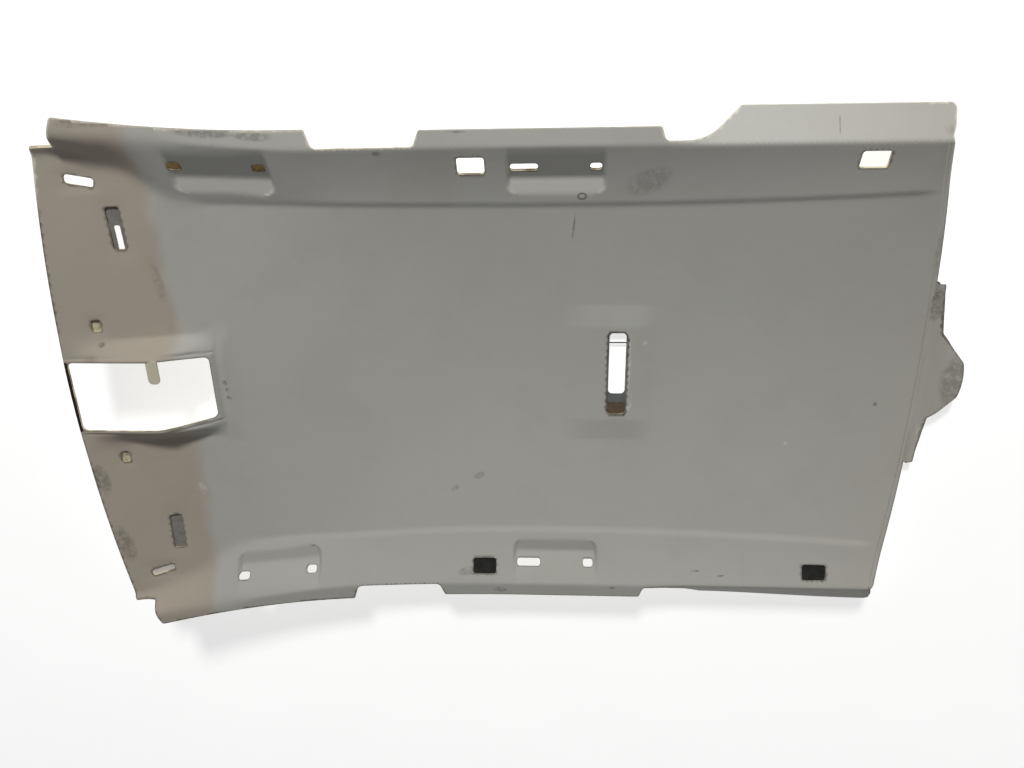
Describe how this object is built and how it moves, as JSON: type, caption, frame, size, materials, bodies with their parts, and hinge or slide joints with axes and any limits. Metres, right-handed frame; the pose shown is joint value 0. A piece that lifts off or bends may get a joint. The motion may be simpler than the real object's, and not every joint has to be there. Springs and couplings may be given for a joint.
{
  "type": "car headliner panel",
  "caption": "Moulded roof lining of a car: crowned cloth-faced sheet with side flanges, handle recesses, dome lamp opening and raised console surround",
  "frame": {"origin": "under the middle of the overall length and width, at the height of the lowest point", "axes": "+X from the windscreen edge to the tailgate edge, +Y to the car's left side, +Z out of the cabin side of the sheet"},
  "size_m": [2.0468, 1.2224, 0.2132],
  "materials": {
    "roof_fabric": "matt grey knitted cloth over foam",
    "lamp_bracket": "matt moulded plastic",
    "brown_foam": "open-cell foam",
    "visor_plate": "matt moulded plastic",
    "beige_insert": "matt moulded plastic",
    "foam_core": "bare foam core"
  },
  "bodies": {
    "root": {"headliner_panel": "roof_fabric", "dome_lamp_bracket": "lamp_bracket", "lamp_foam_pad": "brown_foam", "visor_plate_left": "visor_plate", "visor_plate_right": "visor_plate", "visor_slot_insert": "beige_insert", "console_tab": "foam_core"}
  },
  "joints": []
}
